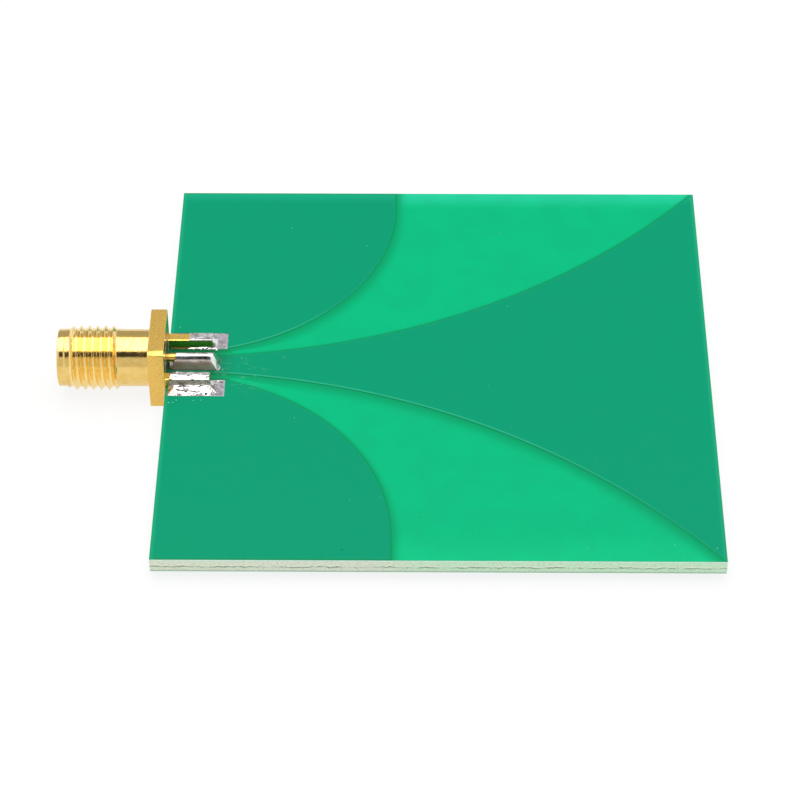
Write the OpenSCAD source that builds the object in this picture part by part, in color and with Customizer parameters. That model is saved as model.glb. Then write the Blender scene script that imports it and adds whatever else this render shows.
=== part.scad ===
// Printed wide-band antenna board with an edge-launch coaxial jack, all in millimetres.
// X runs from the jack to the board's far edge, Y across the board, Z up.
// The origin is on the jack's axis, at its mating reference plane.

/* [Board] */
// Length of the board, from the jack's edge to the far edge
board_l = 52; // [44:0.5:70]
// Width of the board across the jack's axis
board_w = 52; // [40:0.5:70]
// Thickness of the glass-fibre core
core_t = 1.43; // [0.8:0.01:1.9]
// Thickness of the copper foil
copper_t = 0.035; // [0.018:0.001:0.07]
// Thickness of the green lacquer, more than the foil that it steps over
mask_t = 0.05; // [0.04:0.005:0.1]
// Thickness of the tin on the bare pads
tin_t = 0.02; // [0.01:0.005:0.04]
// How far the foil stays back from the board's edges
edge_pull = 0.2; // [0.1:0.05:0.5]

/* [Radiator] */
// Width of the feed line at the board's edge
feed_w = 1.9; // [1.6:0.05:2.4]
// How far the feed line runs on before it flares
flare_lead = 14.5; // [10:0.5:20]
// Angle of the flare where it meets the far corners, in degrees
flare_angle = 50; // [44:1:56]
// How far back from the far corners the flare's last straight reaches
flare_reach = 26.4; // [20:0.2:30]

/* [Ground] */
// Radius of the round edge of each ground pour
pour_r = 21.6; // [16:0.1:23]
// Distance from the board's long edge to the centre of that round edge
pour_inset = 2.75; // [1:0.05:3.5]

/* [Jack] */
// Depth of the open mouth in front of the insulator
mouth_depth = 1.95; // [1.8:0.05:2.1]
// Inside diameter of the mouth
mouth_d = 4.6; // [4.5:0.02:4.7]
// Outside diameter of the plain nose
nose_d = 5.5; // [5.2:0.05:5.6]
// Length of the plain nose
nose_l = 1.2; // [0.6:0.1:2]
// Outside diameter over the thread's crests
thread_d = 6.25; // [6:0.01:6.4]
// Length of the threaded stretch
thread_l = 4.7; // [3:0.1:6]
// Bevel at both ends of the thread
thread_bevel = 0.35; // [0.2:0.05:0.4]
// Diameter of the plain barrel behind the thread
barrel_d = 5.5; // [5:0.05:5.9]
// Length of the plain barrel behind the thread
barrel_l = 2.85; // [2:0.05:5]
// Side of the square flange
flange_s = 6.6; // [6.3:0.05:8]
// Thickness of the flange
flange_t = 1.55; // [1:0.05:2.5]
// Height of the jack's axis above the upper pads
axis_h = 0.85; // [0.6:0.05:1]

/* [Legs] */
// Length of the four legs
leg_l = 4.2; // [3:0.1:6]
// Width of the legs
leg_w = 1; // [0.8:0.05:1.2]
// Height of the two upper legs
upper_leg_t = 1.05; // [0.8:0.05:1.3]
// Height of the two lower legs
lower_leg_t = 0.9; // [0.6:0.05:1]

/* [Contact] */
// Diameter of the insulator
insulator_d = 4.1; // [3.8:0.05:4.4]
// Outside diameter of the centre contact
contact_d = 1.27; // [1.2:0.01:1.4]
// Bore of the centre contact's socket
socket_d = 0.94; // [0.92:0.01:1]
// Depth of the socket
socket_depth = 3; // [2.5:0.1:4]
// Width of the four slots that let the socket spring open
slot_w = 0.13; // [0.1:0.01:0.15]
// Length of those slots
slot_l = 2.2; // [1.5:0.1:2.4]
// Diameter of the solder pin
pin_d = 0.9; // [0.7:0.05:1]
// Length of the solder pin behind the flange
pin_l = 4.2; // [3:0.1:6]

/* [Pads] */
// Width of the ground pads
pad_w = 2.3; // [1.8:0.05:3]
// How far the ground pads run on past the legs
pad_past_leg = 1.45; // [0.8:0.05:2.5]
// How far the ground pads reach inside the legs
pad_inside_leg = 0.1; // [0.05:0.05:0.3]
// Width of the tinned window on the feed line
feed_pad_w = 1.7; // [1.4:0.05:1.85]
// How far that window runs on past the solder pin
feed_pad_past_pin = 0.9; // [0.5:0.05:2]

/* [Solder] */
// Height of the joint on the far leg
far_joint_h = 0.6; // [0.3:0.05:0.75]
// How far the joint on the far leg spreads outwards
far_joint_out = 0.45; // [0.2:0.05:1]
// Height of the joint on the near leg
near_joint_h = 0.75; // [0.3:0.05:0.75]
// How far the joint on the near leg spreads outwards
near_joint_out = 1.1; // [0.4:0.05:1.15]
// Height of the joints on the lower legs
lower_joint_h = 0.5; // [0.3:0.05:0.55]
// How far the joints on the lower legs spread outwards
lower_joint_out = 0.5; // [0.2:0.05:1]
// How far every joint spreads past the end of its leg
joint_past_leg = 0.9; // [0.3:0.05:0.95]
// Thickness of the solder that coats the centre pin
pin_coat = 0.06; // [0.04:0.01:0.12]

/* [Hidden] */

// Facets of a round outline, and steps along the flare
round_fn = 96;
flare_steps = 48;
// Overshoot of a cut past the face that it opens
cut = 1;

// The two sides of the board: far is +Y, near is -Y
FAR = 1;
NEAR = -1;

// Stations along the jack's axis
nose_x = -mouth_depth;
thread_x = nose_x + nose_l;
barrel_x = thread_x + thread_l;
flange_x = barrel_x + barrel_l;
board_x = flange_x + flange_t;

// Levels from the upper pads down to the lower pads
upper_pad_z = -axis_h;
core_top_z = upper_pad_z - tin_t - copper_t;
core_bottom_z = core_top_z - core_t;
lower_pad_z = core_bottom_z - copper_t - tin_t;

// Legs and pads in the board's own plan, measured from its jack edge and its centre line
leg_outer = flange_s / 2;
leg_inner = leg_outer - leg_w;
pad_inner = leg_inner - pad_inside_leg;
pad_l = leg_l + pad_past_leg;
feed_pad_l = pin_l + feed_pad_past_pin;
pour_y = board_w / 2 - pour_inset;

gold = [0.86, 0.66, 0.30];
solder_grey = [0.78, 0.79, 0.80];
copper_red = [0.72, 0.42, 0.26];
mask_green = [0.08, 0.60, 0.43];
laminate_cream = [0.80, 0.82, 0.70];

// Point at share t of the flare, from the feed line to the far corner
function flare_point(t) =
    let (
        start = [0, feed_w / 2],
        end = [board_l, board_w / 2],
        lead = start + [flare_lead, 0],
        reach = end - flare_reach * [cos(flare_angle), sin(flare_angle)]
    )
    pow(1 - t, 3) * start
    + 3 * t * pow(1 - t, 2) * lead
    + 3 * t * t * (1 - t) * reach
    + pow(t, 3) * end;

// Plan of the board, drawn in by a margin
module board_plan(margin = 0) {
    translate([margin, margin - board_w / 2])
        square([board_l - 2 * margin, board_w - 2 * margin]);
}

// Plan of the radiator: the feed line, flaring to the two far corners
module radiator_plan() {
    upper = [for (i = [0 : flare_steps]) flare_point(i / flare_steps)];
    lower = [for (i = [flare_steps : -1 : 0]) [upper[i][0], -upper[i][1]]];
    intersection() {
        polygon(concat(upper, lower));
        board_plan(edge_pull);
    }
}

// Plan of one ground pad, starting at a distance from the board's edge
module ground_pad_plan(side, from) {
    y = side == FAR ? pad_inner : -pad_inner - pad_w;
    translate([from, y])
        square([pad_l - from, pad_w]);
}

// Plan of the tinned window on the feed line, starting at a distance from the board's edge
module feed_pad_plan(from) {
    translate([from, -feed_pad_w / 2])
        square([feed_pad_l - from, feed_pad_w]);
}

// Plan of one ground pour: round towards the radiator, square to the board's edges
module pour_plan(side) {
    intersection() {
        union() {
            translate([0, side * pour_y])
                circle(r = pour_r, $fn = round_fn);
            translate([0, side * (pour_y + pour_inset / 2)])
                square([2 * pour_r, pour_inset], center = true);
        }
        board_plan(edge_pull);
        translate([0, side == FAR ? pad_inner : -pad_inner - board_w])
            square([board_l, board_w]);
    }
    jack_edge_plan(side);
}

// Plan of the foil along the jack's edge, as deep as a pad, from the pad to the long edge
module jack_edge_plan(side) {
    width = board_w / 2 - edge_pull - pad_inner;
    translate([edge_pull, side == FAR ? pad_inner : -pad_inner - width])
        square([pad_l - edge_pull, width]);
}

// Plan of all the foil on the upper face
module upper_foil_plan() {
    radiator_plan();
    pour_plan(FAR);
    pour_plan(NEAR);
}

// Plan of the windows over the ground pads, open at the board's edge
module ground_window_plan() {
    for (side = [FAR, NEAR])
        ground_pad_plan(side, -cut);
}

// Plan of all the windows in the upper lacquer
module upper_window_plan() {
    ground_window_plan();
    feed_pad_plan(-cut);
}

// A layer of the board: its plan raised from level z by thickness t
module layer(z, t) {
    translate([board_x, 0, z])
        linear_extrude(height = t)
            children();
}

module laminate() {
    color(laminate_cream)
        layer(core_bottom_z, core_t)
            board_plan();
}

module ground_copper_far() {
    color(copper_red)
        layer(core_top_z, copper_t)
            pour_plan(FAR);
}

module ground_copper_near() {
    color(copper_red)
        layer(core_top_z, copper_t)
            pour_plan(NEAR);
}

module radiator_copper() {
    color(copper_red)
        layer(core_top_z, copper_t)
            radiator_plan();
}

module lower_pad_copper_far() {
    color(copper_red)
        layer(core_bottom_z - copper_t, copper_t)
            ground_pad_plan(FAR, edge_pull);
}

module lower_pad_copper_near() {
    color(copper_red)
        layer(core_bottom_z - copper_t, copper_t)
            ground_pad_plan(NEAR, edge_pull);
}

module pad_tin_far() {
    color(solder_grey)
        layer(core_top_z + copper_t, tin_t)
            ground_pad_plan(FAR, edge_pull);
}

module pad_tin_near() {
    color(solder_grey)
        layer(core_top_z + copper_t, tin_t)
            ground_pad_plan(NEAR, edge_pull);
}

module feed_tin() {
    color(solder_grey)
        layer(core_top_z + copper_t, tin_t)
            feed_pad_plan(edge_pull);
}

module lower_tin_far() {
    color(solder_grey)
        layer(lower_pad_z, tin_t)
            ground_pad_plan(FAR, edge_pull);
}

module lower_tin_near() {
    color(solder_grey)
        layer(lower_pad_z, tin_t)
            ground_pad_plan(NEAR, edge_pull);
}

// Lacquer that lies on the core, steps up over the foil and leaves the pads bare
module mask_top() {
    color(mask_green) {
        layer(core_top_z, mask_t)
            difference() {
                board_plan();
                upper_foil_plan();
                upper_window_plan();
            }
        layer(core_top_z + copper_t, mask_t)
            difference() {
                upper_foil_plan();
                upper_window_plan();
            }
    }
}

module mask_bottom() {
    color(mask_green)
        layer(core_bottom_z - mask_t, mask_t)
            difference() {
                board_plan();
                ground_window_plan();
            }
}

// Half section of the turned part of the jack, as radius against station on the axis
module jack_section() {
    polygon([
        [mouth_d / 2, nose_x],
        [nose_d / 2, nose_x],
        [nose_d / 2, thread_x],
        [thread_d / 2, thread_x + thread_bevel],
        [thread_d / 2, barrel_x - thread_bevel],
        [barrel_d / 2, barrel_x],
        [barrel_d / 2, board_x],
        [insulator_d / 2, board_x],
        [insulator_d / 2, 0],
        [mouth_d / 2, 0]
    ]);
}

// Turns a half section about the jack's axis
module turned() {
    rotate([0, 90, 0])
        rotate_extrude($fn = round_fn)
            children();
}

// A leg behind the flange, flush with the flange's side
module leg(side, z, t) {
    y = side == FAR ? leg_inner : -leg_outer;
    translate([board_x, y, z])
        cube([leg_l, leg_w, t]);
}

module jack_body() {
    color(gold) {
        turned()
            jack_section();
        difference() {
            translate([flange_x, -flange_s / 2, -flange_s / 2])
                cube([flange_t, flange_s, flange_s]);
            translate([flange_x - cut, 0, 0])
                rotate([0, 90, 0])
                    cylinder(d = insulator_d, h = flange_t + 2 * cut, $fn = round_fn);
        }
        for (side = [FAR, NEAR]) {
            leg(side, upper_pad_z, upper_leg_t);
            leg(side, lower_pad_z - lower_leg_t, lower_leg_t);
        }
    }
}

module insulator() {
    color("white")
        turned()
            translate([contact_d / 2, 0])
                square([(insulator_d - contact_d) / 2, board_x]);
}

module center_contact() {
    color(gold)
        difference() {
            turned()
                polygon([
                    [socket_d / 2, 0],
                    [contact_d / 2, 0],
                    [contact_d / 2, board_x],
                    [pin_d / 2, board_x],
                    [pin_d / 2, board_x + pin_l],
                    [0, board_x + pin_l],
                    [0, socket_depth],
                    [socket_d / 2, socket_depth]
                ]);
            for (turn = [45, 135])
                rotate([turn, 0, 0])
                    translate([-cut, -slot_w / 2, -contact_d])
                        cube([slot_l + cut, slot_w, 2 * contact_d]);
        }
}

// A hipped mound of solder on a pad at z = 0, from the board's edge along +X.
// across is its outline seen along X, and along is its outline seen along Y.
module mound(across, along) {
    span = 2 * board_w;
    intersection() {
        rotate([90, 0, 90])
            linear_extrude(height = board_l)
                polygon(across);
        rotate([90, 0, 0])
            linear_extrude(height = span, center = true)
                polygon(along);
    }
}

// The mound round a leg of the far side, h high and spreading outwards by out
module leg_mound(h, out) {
    mound(
        [[pad_inner, 0], [leg_outer + out, 0], [leg_outer, h], [leg_inner, h]],
        [[0, 0], [leg_l + joint_past_leg, 0], [leg_l, h], [0, h]]
    );
}

// A solder joint on an upper leg
module upper_joint(side, h, out) {
    color(solder_grey)
        difference() {
            translate([board_x, 0, upper_pad_z])
                mirror([0, side == FAR ? 0 : 1, 0])
                    leg_mound(h, out);
            leg(side, upper_pad_z, upper_leg_t);
        }
}

// A solder joint on a lower leg
module lower_joint(side) {
    color(solder_grey)
        difference() {
            translate([board_x, 0, lower_pad_z])
                mirror([0, 0, 1])
                    mirror([0, side == FAR ? 0 : 1, 0])
                        leg_mound(lower_joint_h, lower_joint_out);
            leg(side, lower_pad_z - lower_leg_t, lower_leg_t);
        }
}

module solder_far() {
    upper_joint(FAR, far_joint_h, far_joint_out);
}

module solder_near() {
    upper_joint(NEAR, near_joint_h, near_joint_out);
}

module lower_solder_far() {
    lower_joint(FAR);
}

module lower_solder_near() {
    lower_joint(NEAR);
}

module solder_feed() {
    coat_r = pin_d / 2 + pin_coat;
    ridge = coat_r / 2;
    top = axis_h + coat_r;
    color(solder_grey)
        difference() {
            translate([board_x, 0, upper_pad_z])
                mound(
                    [
                        [-feed_pad_w / 2, 0], [feed_pad_w / 2, 0], [coat_r, axis_h + ridge],
                        [ridge, top], [-ridge, top], [-coat_r, axis_h + ridge]
                    ],
                    [[0, 0], [feed_pad_l, 0], [pin_l + pin_coat, top], [0, top]]
                );
            translate([board_x - cut, 0, 0])
                rotate([0, 90, 0])
                    cylinder(d = pin_d, h = pin_l + cut, $fn = round_fn);
        }
}

laminate();
ground_copper_far();
ground_copper_near();
radiator_copper();
lower_pad_copper_far();
lower_pad_copper_near();
pad_tin_far();
pad_tin_near();
feed_tin();
lower_tin_far();
lower_tin_near();
mask_top();
mask_bottom();
jack_body();
insulator();
center_contact();
solder_far();
solder_near();
solder_feed();
lower_solder_far();
lower_solder_near();
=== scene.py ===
"""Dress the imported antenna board: lacquered board, gold jack, soldered joints, studio and camera."""
import logging
import math
from collections.abc import Iterable, Sequence
from dataclasses import dataclass, field
from enum import Enum

import bmesh
import bpy
import numpy as np
from mathutils import Matrix, Vector, geometry, noise


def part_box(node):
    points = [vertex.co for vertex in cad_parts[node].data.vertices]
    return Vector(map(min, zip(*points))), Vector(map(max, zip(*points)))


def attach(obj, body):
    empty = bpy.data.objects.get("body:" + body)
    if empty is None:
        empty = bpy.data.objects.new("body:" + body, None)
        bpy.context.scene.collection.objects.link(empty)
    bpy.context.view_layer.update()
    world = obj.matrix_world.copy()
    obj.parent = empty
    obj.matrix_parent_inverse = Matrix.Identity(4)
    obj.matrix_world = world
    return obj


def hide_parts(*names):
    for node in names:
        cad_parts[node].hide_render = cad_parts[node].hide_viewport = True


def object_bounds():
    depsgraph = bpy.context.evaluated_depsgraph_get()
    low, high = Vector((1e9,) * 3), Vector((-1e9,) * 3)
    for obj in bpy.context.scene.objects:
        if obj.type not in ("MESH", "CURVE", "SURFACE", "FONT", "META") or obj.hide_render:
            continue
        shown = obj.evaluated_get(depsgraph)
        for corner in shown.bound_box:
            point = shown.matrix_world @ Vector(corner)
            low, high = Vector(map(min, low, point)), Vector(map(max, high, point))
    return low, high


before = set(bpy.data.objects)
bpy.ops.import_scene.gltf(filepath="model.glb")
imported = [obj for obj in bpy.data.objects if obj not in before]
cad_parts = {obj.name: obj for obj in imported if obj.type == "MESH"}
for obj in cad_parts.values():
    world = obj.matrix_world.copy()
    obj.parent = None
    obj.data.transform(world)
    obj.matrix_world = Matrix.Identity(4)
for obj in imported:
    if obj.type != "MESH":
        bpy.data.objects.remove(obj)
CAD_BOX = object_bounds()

MM = 0.001
TURN = 2.0 * math.pi
FOIL_EDGE = "foil_edge"
FOIL_FACING = "foil_facing"
STEEP = "steep"
log = logging.getLogger("antenna_board")

Colour = tuple[float, float, float, float]
Point = tuple[float, float, float]
Input = float | int | Sequence[float] | bpy.types.NodeSocket


def tone(red: int, green: int, blue: int) -> Colour:
    """Turn a display colour of 0 to 255 into the linear colour that a shader takes.

    Args:
        red: Display red.
        green: Display green.
        blue: Display blue.

    Returns:
        The linear colour with full alpha.
    """
    parts = []
    for value in (red, green, blue):
        share = value / 255.0
        parts.append(share / 12.92 if share <= 0.04045 else ((share + 0.055) / 1.055) ** 2.4)
    return (parts[0], parts[1], parts[2], 1.0)


class NodeGraph:
    """A node tree with short calls that add nodes and link them."""

    def __init__(self, tree: bpy.types.NodeTree) -> None:
        """Empty the tree and keep it."""
        self.tree = tree
        tree.nodes.clear()

    def add(self, kind: str, inputs: dict[str | int, Input] | None = None,
            **settings: object) -> bpy.types.Node:
        """Add a node, set its properties, and set or link its inputs.

        Args:
            kind: The node's class name.
            inputs: Values or output sockets, by input name or index.
            **settings: Properties of the node, set before its inputs.

        Returns:
            The new node.
        """
        node = self.tree.nodes.new(kind)
        for name, value in settings.items():
            setattr(node, name, value)
        for key, value in (inputs or {}).items():
            if isinstance(value, bpy.types.NodeSocket):
                self.tree.links.new(value, node.inputs[key])
            else:
                node.inputs[key].default_value = value
        return node

    def math(self, operation: str, a: Input, b: Input = 0.0, c: Input = 0.0) -> bpy.types.NodeSocket:
        """Add a Math node.

        Args:
            operation: The node's operation.
            a: First value or socket.
            b: Second value or socket.
            c: Third value or socket.

        Returns:
            The result socket.
        """
        return self.add("ShaderNodeMath", {0: a, 1: b, 2: c}, operation=operation).outputs[0]

    def ramp(self, value: Input, low: float, high: float, start: float = 0.0,
             end: float = 1.0) -> bpy.types.NodeSocket:
        """Ease a value from one range to another and hold it at the ends.

        Args:
            value: The value or socket to map.
            low: Value that gives start.
            high: Value that gives end.
            start: Result at low.
            end: Result at high.

        Returns:
            The result socket.
        """
        inputs = {"Value": value, "From Min": low, "From Max": high, "To Min": start, "To Max": end}
        return self.add("ShaderNodeMapRange", inputs, interpolation_type="SMOOTHSTEP").outputs["Result"]

    def mix(self, factor: Input, a: Input, b: Input) -> bpy.types.NodeSocket:
        """Mix two colours.

        Args:
            factor: Share of the second colour.
            a: First colour or socket.
            b: Second colour or socket.

        Returns:
            The colour socket.
        """
        node = self.add("ShaderNodeMix", data_type="RGBA", blend_type="MIX")
        for index, value in ((0, factor), (6, a), (7, b)):
            if isinstance(value, bpy.types.NodeSocket):
                self.tree.links.new(value, node.inputs[index])
            else:
                node.inputs[index].default_value = value
        return node.outputs[2]

    def noise(self, place: bpy.types.NodeSocket, scale: float, detail: float = 3.0,
              roughness: float = 0.55) -> bpy.types.NodeSocket:
        """Add a noise texture.

        Args:
            place: Coordinates in millimetres.
            scale: Features for each millimetre.
            detail: Number of finer layers.
            roughness: Strength of the finer layers.

        Returns:
            The value socket.
        """
        inputs = {"Vector": place, "Scale": scale, "Detail": detail, "Roughness": roughness}
        return self.add("ShaderNodeTexNoise", inputs).outputs[0]

    def stretch(self, place: bpy.types.NodeSocket, factors: Point) -> bpy.types.NodeSocket:
        """Scale coordinates by a factor on each axis.

        Args:
            place: The coordinates.
            factors: Factor on X, Y and Z.

        Returns:
            The scaled coordinates.
        """
        return self.add("ShaderNodeVectorMath", {0: place, 1: factors}, operation="MULTIPLY").outputs[0]


@dataclass(frozen=True)
class Finish:
    """One surface finish, made once and shared."""

    name: str

    def material(self) -> bpy.types.Material:
        """Build the material, or return it if it is there already.

        Returns:
            The node material.
        """
        made = bpy.data.materials.get(self.name)
        if made is not None:
            return made
        made = bpy.data.materials.new(self.name)
        made.use_nodes = True
        graph = NodeGraph(made.node_tree)
        shader = graph.add("ShaderNodeBsdfPrincipled")
        graph.add("ShaderNodeOutputMaterial", {"Surface": shader.outputs[0]})
        metres = graph.add("ShaderNodeTexCoord").outputs["Object"]
        self.paint(graph, shader, graph.stretch(metres, (1.0 / MM, 1.0 / MM, 1.0 / MM)))
        return made

    def paint(self, graph: NodeGraph, shader: bpy.types.Node, place: bpy.types.NodeSocket) -> None:
        """Add the finish's own nodes.

        Args:
            graph: The material's nodes.
            shader: The principled shader to feed.
            place: Object coordinates in millimetres.
        """
        raise NotImplementedError

    @staticmethod
    def wire(graph: NodeGraph, shader: bpy.types.Node, **sockets: bpy.types.NodeSocket) -> None:
        """Link sockets to the shader's inputs.

        Args:
            graph: The material's nodes.
            shader: The principled shader.
            **sockets: Output sockets by input name, with underscores for spaces.
        """
        for name, socket in sockets.items():
            graph.tree.links.new(socket, shader.inputs[name.replace("_", " ")])

    @staticmethod
    def bump(graph: NodeGraph, height: bpy.types.NodeSocket, depth_mm: float) -> bpy.types.NodeSocket:
        """Turn a height into a normal.

        Args:
            graph: The material's nodes.
            height: Height from 0 to 1.
            depth_mm: Height of the relief in millimetres.

        Returns:
            The normal socket.
        """
        inputs = {"Strength": 1.0, "Distance": depth_mm * MM, "Height": height}
        return graph.add("ShaderNodeBump", inputs).outputs[0]


@dataclass(frozen=True)
class LacquerFinish(Finish):
    """Green solder mask, darker over foil, bright over bare laminate."""

    foil_shows: bool = True
    over_foil: Colour = tone(0, 151, 110)
    over_bare: Colour = tone(0, 185, 125)
    # painted shade beside the foil edges; also the weave tint on the underside
    edge_shade_and_weave: Colour = tone(0, 155, 99)
    # painted highlight colour for foil steps and board ends; also the weave tint over foil
    highlight_and_weave: Colour = tone(46, 182, 139)
    # painted shade: thin dark line just outside the foil edges
    painted_gap_shade: Colour = tone(0, 126, 82)
    # painted light: lacquer colour towards the back edge, as if lit through the cut edge
    painted_back_glow: Colour = tone(40, 205, 158)
    # painted light: lacquer colour towards the front edge, as if lit through the cut edge
    painted_front_glow: Colour = tone(14, 196, 132)
    patch: Colour = tone(0, 143, 99)
    scuff: Colour = tone(84, 182, 152)
    shadow: Colour = tone(26, 84, 48)
    middle_mm: float = 34.35
    half_mm: float = 26.0
    weave_mm: float = 0.46
    flux_mm: Point = (15.3, -1.4, -0.82)
    flux_reach_mm: float = 3.4
    gap_mm: float = 0.13
    step_mm: float = 0.02
    shade_mm: tuple[float, float] = (0.6, 2.3)
    gloss: tuple[float, float] = (0.22, 0.30)
    specular: float = 0.06
    relief_mm: float = 0.003

    def paint(self, graph: NodeGraph, shader: bpy.types.Node, place: bpy.types.NodeSocket) -> None:
        """Add the lacquer's nodes.

        Args:
            graph: The material's nodes.
            shader: The principled shader to feed.
            place: Object coordinates in millimetres.
        """
        axes = graph.add("ShaderNodeSeparateXYZ", {0: place}).outputs
        cloud = graph.noise(place, 0.35, 2.0)
        grain = graph.noise(place, 6.0, 3.0)
        weave = self.weave(graph, axes)
        to_back = graph.math("SUBTRACT", self.half_mm, axes[1])
        to_front = graph.math("ADD", self.half_mm, axes[1])
        # painted light: bare lacquer lighter within 4 mm of the front edge
        bare = graph.mix(graph.ramp(to_front, 4.0, 0.0, 0.0, 0.7), self.over_bare, self.painted_front_glow)
        # painted light: bare lacquer lighter within 2.6 mm of the back edge
        bare = graph.mix(graph.ramp(to_back, 2.6, 0.0, 0.0, 0.85), bare, self.painted_back_glow)
        if self.foil_shows:
            # painted light: foil areas also lighter within 1.8 mm of the back edge
            foil = graph.mix(graph.ramp(to_back, 1.8, 0.0, 0.0, 0.28), self.over_foil, self.painted_back_glow)
            # weave pattern over the foil, in the same light colour
            foil = graph.mix(graph.math("MULTIPLY", weave, 0.07), foil, self.highlight_and_weave)
            colour = self.foil_steps(graph, bare, foil)
        else:
            # weave pattern on the underside, in the darker edge-shade green
            colour = graph.mix(graph.math("MULTIPLY", weave, 0.12), bare, self.edge_shade_and_weave)
        from_middle = graph.math("ABSOLUTE", graph.math("SUBTRACT", axes[0], self.middle_mm))
        to_side = graph.math("SUBTRACT", self.half_mm, from_middle)
        # painted light: lacquer lighter in a band along the board's jack edge and far edge
        colour = graph.mix(graph.ramp(to_side, 0.5, 0.05, 0.0, 0.45), colour, self.highlight_and_weave)
        colour = graph.mix(graph.ramp(cloud, 0.35, 0.65, 0.0, 0.12), colour, self.patch)
        colour = graph.mix(self.marks(graph, place), colour, self.scuff)
        # painted shade, with some flux darkening: lacquer darker between the legs by the jack
        by_jack = graph.ramp(axes[0], self.flux_mm[0], self.flux_mm[0] - 3.2)
        between = graph.ramp(graph.math("ABSOLUTE", axes[1]), 2.7, 2.2, 0.0, 0.6)
        colour = graph.mix(graph.math("MULTIPLY", by_jack, between), colour, self.shadow)
        relief = graph.math("ADD", graph.math("MULTIPLY", weave, 0.6), graph.math("MULTIPLY", grain, 0.4))
        self.wire(graph, shader, Base_Color=colour, Roughness=graph.ramp(cloud, 0.3, 0.7, *self.gloss),
                  Normal=self.bump(graph, relief, self.relief_mm))
        shader.inputs["Specular IOR Level"].default_value = self.specular

    def foil_steps(self, graph: NodeGraph, bare: bpy.types.NodeSocket,
                   foil: bpy.types.NodeSocket) -> bpy.types.NodeSocket:
        """Join bare and foil colours at the foil's edges, with a painted highlight line on the step and
        painted shade beside it.

        Args:
            graph: The material's nodes.
            bare: Colour over bare laminate.
            foil: Colour over foil.

        Returns:
            The colour socket.
        """
        edge = graph.add("ShaderNodeAttribute", attribute_name=FOIL_EDGE).outputs["Fac"]
        facing = graph.add("ShaderNodeAttribute", attribute_name=FOIL_FACING).outputs["Fac"]
        shade_width = graph.ramp(facing, -1.0, 1.0, *self.shade_mm)
        shade = graph.ramp(graph.math("DIVIDE", edge, shade_width), -1.0, 0.0)
        # painted shade: bare lacquer darker beside each foil edge, in a band up to 2.3 mm wide, widest where
        # the edge faces the near side
        bare = graph.mix(graph.math("POWER", shade, 1.5), bare, self.edge_shade_and_weave)
        # the painted highlight and shade below are strongest on edges that face the near side
        forward = graph.ramp(facing, 0.55, 1.0)
        # painted shade: a dark line 0.13 mm outside each foil edge, strongest on edges facing the near side
        from_gap = graph.math("ABSOLUTE", graph.math("ADD", edge, self.gap_mm))
        gap_strength = graph.ramp(forward, 0.0, 1.0, 0.4, 0.95)
        gap = graph.math("MULTIPLY", graph.ramp(from_gap, 0.11, 0.03), gap_strength)
        bare = graph.mix(gap, bare, self.painted_gap_shade)
        colour = graph.mix(graph.ramp(edge, -0.03, 0.01), bare, foil)
        # painted highlight: a light line along the foil's step
        from_step = graph.math("ABSOLUTE", graph.math("SUBTRACT", edge, self.step_mm))
        step_strength = graph.ramp(forward, 0.0, 1.0, 0.08, 0.8)
        step = graph.math("MULTIPLY", graph.ramp(from_step, 0.095, 0.045), step_strength)
        return graph.mix(step, colour, self.highlight_and_weave)

    def marks(self, graph: NodeGraph, place: bpy.types.NodeSocket) -> bpy.types.NodeSocket:
        """Make faint scuffs over the board and flux smears by the pads.

        Args:
            graph: The material's nodes.
            place: Object coordinates in millimetres.

        Returns:
            Strength of the marks.
        """
        scuffs = graph.noise(graph.stretch(place, (1.0, 0.35, 1.0)), 1.7, 6.0, 0.7)
        smears = graph.noise(graph.stretch(place, (0.8, 2.0, 1.0)), 1.3, 3.0, 0.6)
        offset = graph.add("ShaderNodeVectorMath", {0: place, 1: self.flux_mm}, operation="SUBTRACT")
        away = graph.add("ShaderNodeVectorMath", {0: offset.outputs[0]}, operation="LENGTH").outputs["Value"]
        smeared = graph.ramp(smears, 0.56, 0.66, 0.0, 0.4)
        by_pads = graph.math("MULTIPLY", graph.ramp(away, self.flux_reach_mm, 1.2), smeared)
        return graph.math("MAXIMUM", graph.ramp(scuffs, 0.72, 0.80, 0.0, 0.2), by_pads)

    def weave(self, graph: NodeGraph, axes: Sequence[bpy.types.NodeSocket]) -> bpy.types.NodeSocket:
        """Make the faint weave of the glass cloth under the foil.

        Args:
            graph: The material's nodes.
            axes: Coordinates in millimetres.

        Returns:
            A value from 0 to 1.
        """
        waves = []
        for axis in (0, 1):
            angle = graph.math("MULTIPLY", axes[axis], TURN / self.weave_mm)
            waves.append(graph.math("SINE", angle))
        return graph.math("MULTIPLY_ADD", graph.math("MULTIPLY", waves[0], waves[1]), 0.5, 0.5)


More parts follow.
